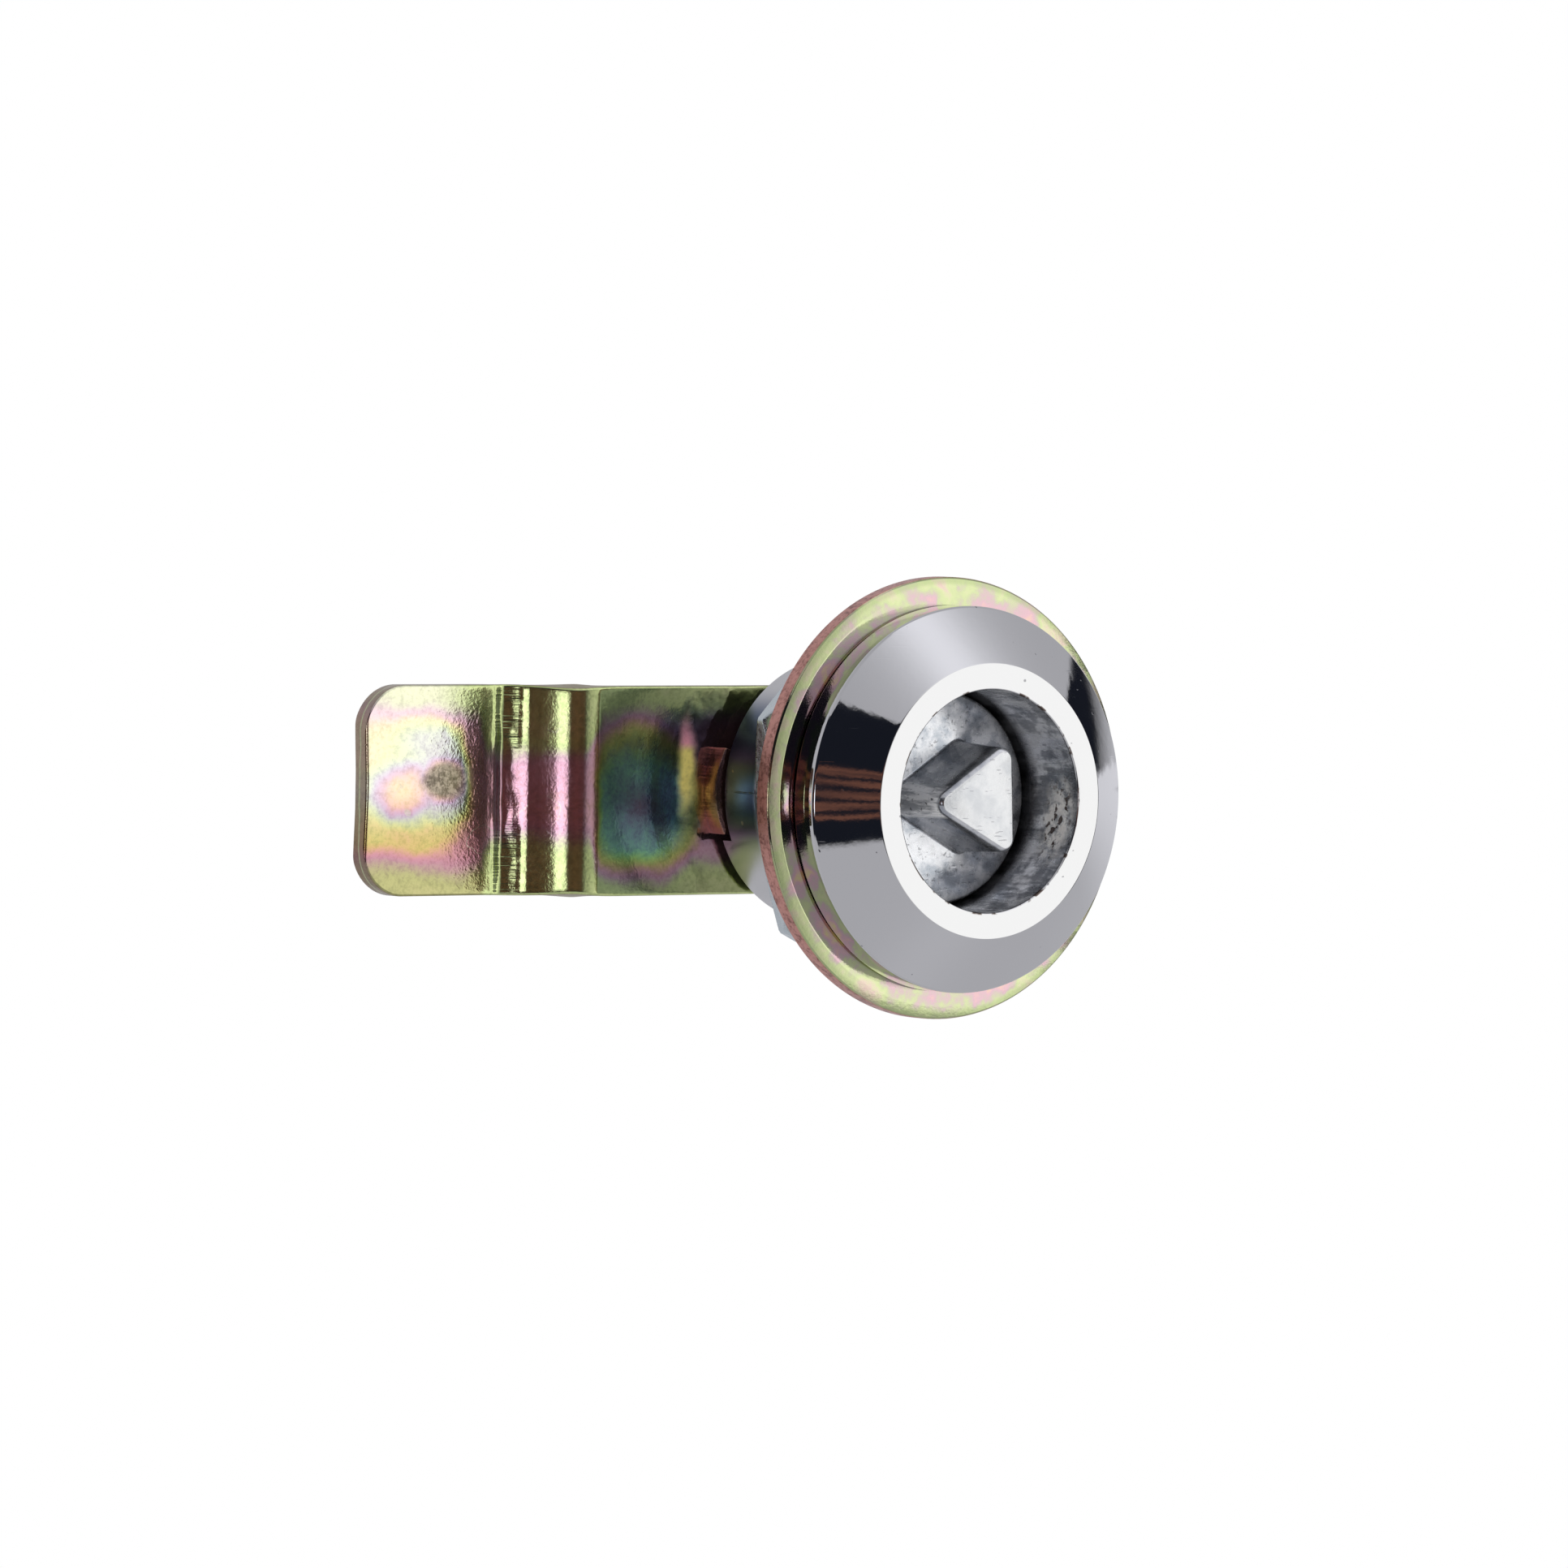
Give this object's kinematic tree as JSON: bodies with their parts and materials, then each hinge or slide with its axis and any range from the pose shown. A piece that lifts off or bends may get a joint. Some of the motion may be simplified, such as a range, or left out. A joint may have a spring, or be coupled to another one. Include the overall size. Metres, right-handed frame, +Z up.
{
  "type": "cam lock",
  "caption": "Quarter-turn panel lock: round head with a triangular driver in a recess, threaded barrel, washer and hex nut, and a joggled flat cam behind.",
  "frame": {"origin": "on the lock's axis, in the plane of the head's back face, which rests on the outside of the panel", "axes": "+Y along the lock's axis from the head to the cam, +Z up, and the cam points to -X at rest"},
  "size_m": [0.0555, 0.0314, 0.0332],
  "materials": {
    "housing_chrome": "polished chrome on die-cast zinc",
    "spindle_chrome": "chromed die-cast zinc with a slightly cloudy skin",
    "washer_zinc": "iridescent yellow zinc on pressed steel",
    "nut_zinc": "blue-white zinc",
    "cam_zinc": "iridescent yellow zinc on pressed steel",
    "fastener_zinc": "bright zinc",
    "spring_steel": "dark zinc",
    "seal_rubber": "matt black"
  },
  "bodies": {
    "housing": {"housing": "housing_chrome"},
    "clamp_washer": {"face_washer": "washer_zinc"},
    "clamp_nut": {"hex_nut": "nut_zinc"},
    "spindle": {"spindle": "spindle_chrome", "spindle_oring": "seal_rubber", "cam": "cam_zinc", "cam_flat_washer": "fastener_zinc", "cam_spring_washer": "spring_steel", "cam_screw": "fastener_zinc"}
  },
  "joints": [
    {"name": "spindle_turn", "type": "hinge", "parent": "housing", "child": "spindle", "pos_m": [0, 0, 0], "axis": [0, 1, 0], "range_deg": [0, 90]},
    {"name": "washer_slide", "type": "slide", "parent": "housing", "child": "clamp_washer", "axis": [0, 1, 0], "range_m": [0, 0.00501]},
    {"name": "nut_turn", "type": "hinge", "parent": "clamp_washer", "child": "clamp_nut", "pos_m": [0, 0, 0], "axis": [0, 1, 0], "range_deg": [0, 1200]}
  ],
  "couplings": [
    {"joint": "washer_slide", "follows": "nut_turn", "m_per_rad": 0.00023873}
  ]
}
